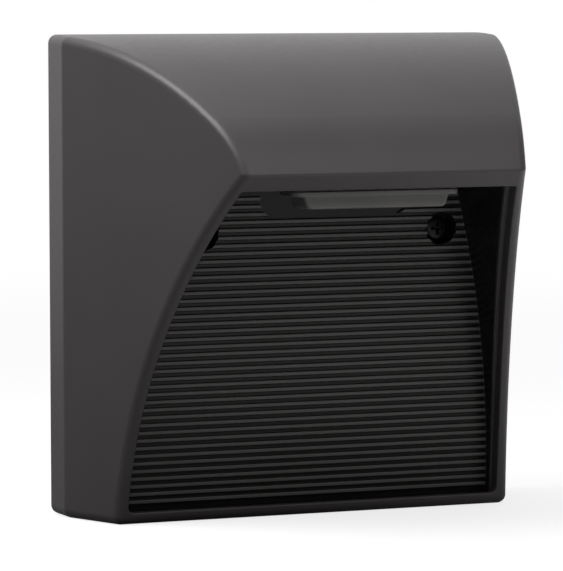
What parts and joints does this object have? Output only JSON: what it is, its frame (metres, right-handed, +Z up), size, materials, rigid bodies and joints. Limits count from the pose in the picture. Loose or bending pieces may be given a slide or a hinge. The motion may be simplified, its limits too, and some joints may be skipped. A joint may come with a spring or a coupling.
{
  "type": "step light",
  "caption": "Square surface-mounted step light: hooded die-cast housing, deep ribbed black recess, lens behind the lip that shines down.",
  "frame": {"origin": "centre of the square back face, on the wall", "axes": "+X to the right seen from the front, +Y into the wall, so the front faces -Y, +Z up"},
  "size_m": [0.15, 0.0901, 0.15],
  "materials": {
    "housing_paint": "smooth satin anthracite powder coat on die-cast aluminium",
    "tray_black": "moulded black polycarbonate, satin",
    "silicone_black": "matte silicone",
    "silicone_clear": "translucent silicone",
    "zinc_screw": "bright zinc plate",
    "screw_black": "black coated stainless steel",
    "lens_frosted": "frosted polycarbonate, smooth outside",
    "board_white": "white solder mask",
    "diode_yellow": "phosphor under clear resin",
    "pad_grey": "soft matte pad",
    "driver_white": "moulded",
    "board_green": "green solder mask",
    "ferrite": "ferrite core with taped winding",
    "capacitor_sleeve": "shrink sleeve",
    "terminal_cream": "moulded polyamide",
    "brass_plain": "turned brass",
    "tinned_brass": "tin plate",
    "lead_brown": "silicone insulation",
    "lead_blue": "silicone insulation",
    "lead_red": "silicone insulation",
    "lead_black": "silicone insulation",
    "lead_green_yellow": "green insulation with a yellow stripe",
    "clip_nylon": "moulded nylon",
    "base_black": "glass-filled nylon",
    "foam_black": "closed-cell foam",
    "grommet_black": "matte rubber"
  },
  "bodies": {
    "wall_side": {"wall_base": "base_black", "base_seal": "silicone_black", "wall_gasket": "foam_black", "cable_grommet": "grommet_black", "pillar_inserts": "brass_plain"},
    "front": {"front_housing": "housing_paint", "ribbed_tray": "tray_black", "tray_seal": "silicone_black", "tray_screws": "zinc_screw", "lens": "lens_frosted", "lens_gasket": "silicone_clear", "led_board": "board_white", "leds": "diode_yellow", "thermal_pad": "pad_grey", "led_board_screws": "zinc_screw", "driver_case": "driver_white", "driver_lid": "driver_white", "driver_board": "board_green", "driver_transformer": "ferrite", "driver_capacitors": "capacitor_sleeve", "driver_screws": "zinc_screw", "terminal_block": "terminal_cream", "terminal_inserts": "brass_plain", "terminal_screws": "zinc_screw", "terminal_block_screws": "zinc_screw", "live_lead": "lead_brown", "neutral_lead": "lead_blue", "led_lead_positive": "lead_red", "led_lead_negative": "lead_black", "earth_lead": "lead_green_yellow", "earth_ring_terminal": "tinned_brass", "earth_screw": "brass_plain", "lead_clip": "clip_nylon", "cover_screw_washers": "silicone_black"},
    "screw_left": {"cover_screw_left": "screw_black"},
    "screw_right": {"cover_screw_right": "screw_black"}
  },
  "joints": [
    {"name": "front_lift_off", "type": "slide", "parent": "wall_side", "child": "front", "axis": [0, -1, 0], "range_m": [0, 0.06]},
    {"name": "screw_left_turn", "type": "hinge", "parent": "front", "child": "screw_left", "pos_m": [-0.0403, -0.037, 0.01393], "axis": [0, -1, 0], "continuous": true},
    {"name": "screw_right_turn", "type": "hinge", "parent": "front", "child": "screw_right", "pos_m": [0.0403, -0.037, 0.01393], "axis": [0, -1, 0], "continuous": true}
  ]
}
